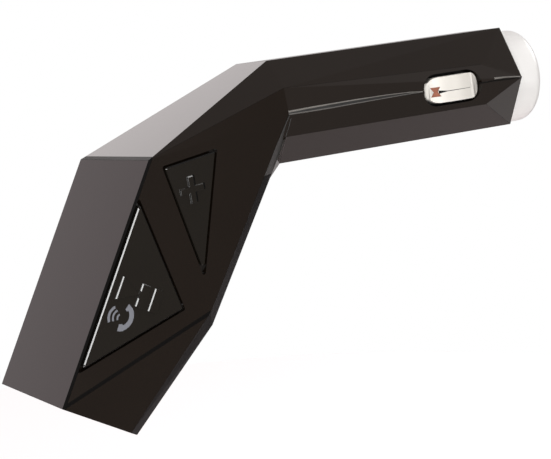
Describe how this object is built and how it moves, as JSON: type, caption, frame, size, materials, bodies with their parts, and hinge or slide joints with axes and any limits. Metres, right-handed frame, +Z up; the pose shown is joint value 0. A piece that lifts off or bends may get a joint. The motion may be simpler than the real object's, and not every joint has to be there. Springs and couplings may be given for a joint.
{
  "type": "car fm transmitter",
  "caption": "Car FM transmitter: a faceted black head with a smoked window and triangular side keys, on a plug arm with a metal nose and side contacts.",
  "frame": {"origin": "on the plug's axis at the arm's end face, where the metal nose starts", "axes": "+X along the plug's axis out of the nose, +Z up with the window facing back along -X and down from the socket, -Y the near side with the play key"},
  "size_m": [0.0923, 0.0292, 0.0509],
  "materials": {
    "housing_black": "glossy, moulded",
    "window_smoked": "glossy, smoked",
    "key_black": "glossy, moulded",
    "nose_metal": "plated, fine satin",
    "contact_metal": "plated, bright",
    "spring_steel": "bright drawn wire",
    "guide_plastic": "matte",
    "board_green": "solder mask",
    "display_black": "dark filter",
    "display_segment": "diffuser, unlit",
    "switch_black": "matte",
    "plunger_ivory": "matte",
    "port_metal": "plated sheet",
    "tongue_white": "matte",
    "card_metal": "plated sheet",
    "microphone_metal": "plated can",
    "chip_black": "matte, moulded",
    "crystal_metal": "bright can",
    "coil_dark": "ferrite and lacquered wire",
    "capacitor_sleeve": "shrink sleeve",
    "wire_red": "insulation",
    "wire_black": "insulation",
    "screw_steel": "zinc plated"
  },
  "bodies": {
    "housing": {"front_shell": "housing_black", "rear_shell": "housing_black", "display_window": "window_smoked", "nose_cap": "nose_metal", "pin_guide": "guide_plastic", "contact_spring": "spring_steel", "main_board": "board_green", "display_module": "display_black", "display_digits": "display_segment", "play_switch": "switch_black", "plus_switch": "switch_black", "channel_switch": "switch_black", "minus_switch": "switch_black", "usb_shell": "port_metal", "usb_tongue": "tongue_white", "card_socket": "card_metal", "microphone": "microphone_metal", "bluetooth_chip": "chip_black", "radio_chip": "chip_black", "crystal": "crystal_metal", "power_board": "board_green", "power_coil": "coil_dark", "input_capacitor": "capacitor_sleeve", "regulator_chip": "chip_black", "supply_wire": "wire_red", "ground_wire": "wire_black", "case_screws": "screw_steel", "board_screws": "screw_steel"},
    "play_key": {"play_key": "key_black", "play_plunger": "plunger_ivory"},
    "plus_key": {"plus_key": "key_black", "plus_plunger": "plunger_ivory"},
    "channel_key": {"channel_key": "key_black", "channel_plunger": "plunger_ivory"},
    "minus_key": {"minus_key": "key_black", "minus_plunger": "plunger_ivory"},
    "near_side_contact": {"near_side_contact": "contact_metal"},
    "far_side_contact": {"far_side_contact": "contact_metal"},
    "centre_contact": {"centre_contact": "contact_metal"}
  },
  "joints": [
    {"name": "play_key_press", "type": "slide", "parent": "housing", "child": "play_key", "axis": [-0.1778, 0.979, 0.0994], "range_m": [0, 0.0003], "stiffness_N_per_m": 4000},
    {"name": "plus_key_press", "type": "slide", "parent": "housing", "child": "plus_key", "axis": [-0.1778, 0.979, 0.0994], "range_m": [0, 0.0003], "stiffness_N_per_m": 4000},
    {"name": "channel_key_press", "type": "slide", "parent": "housing", "child": "channel_key", "axis": [-0.1778, -0.979, 0.0994], "range_m": [0, 0.0003], "stiffness_N_per_m": 4000},
    {"name": "minus_key_press", "type": "slide", "parent": "housing", "child": "minus_key", "axis": [-0.1778, -0.979, 0.0994], "range_m": [0, 0.0003], "stiffness_N_per_m": 4000},
    {"name": "near_side_contact_press", "type": "slide", "parent": "housing", "child": "near_side_contact", "axis": [0, 1, 0], "range_m": [0, 0.001], "stiffness_N_per_m": 3000},
    {"name": "far_side_contact_press", "type": "slide", "parent": "housing", "child": "far_side_contact", "axis": [0, -1, 0], "range_m": [0, 0.001], "stiffness_N_per_m": 3000},
    {"name": "centre_contact_press", "type": "slide", "parent": "housing", "child": "centre_contact", "axis": [-1, 0, 0], "range_m": [0, 0.0013], "stiffness_N_per_m": 3000, "deforming": ["contact_spring"]}
  ]
}
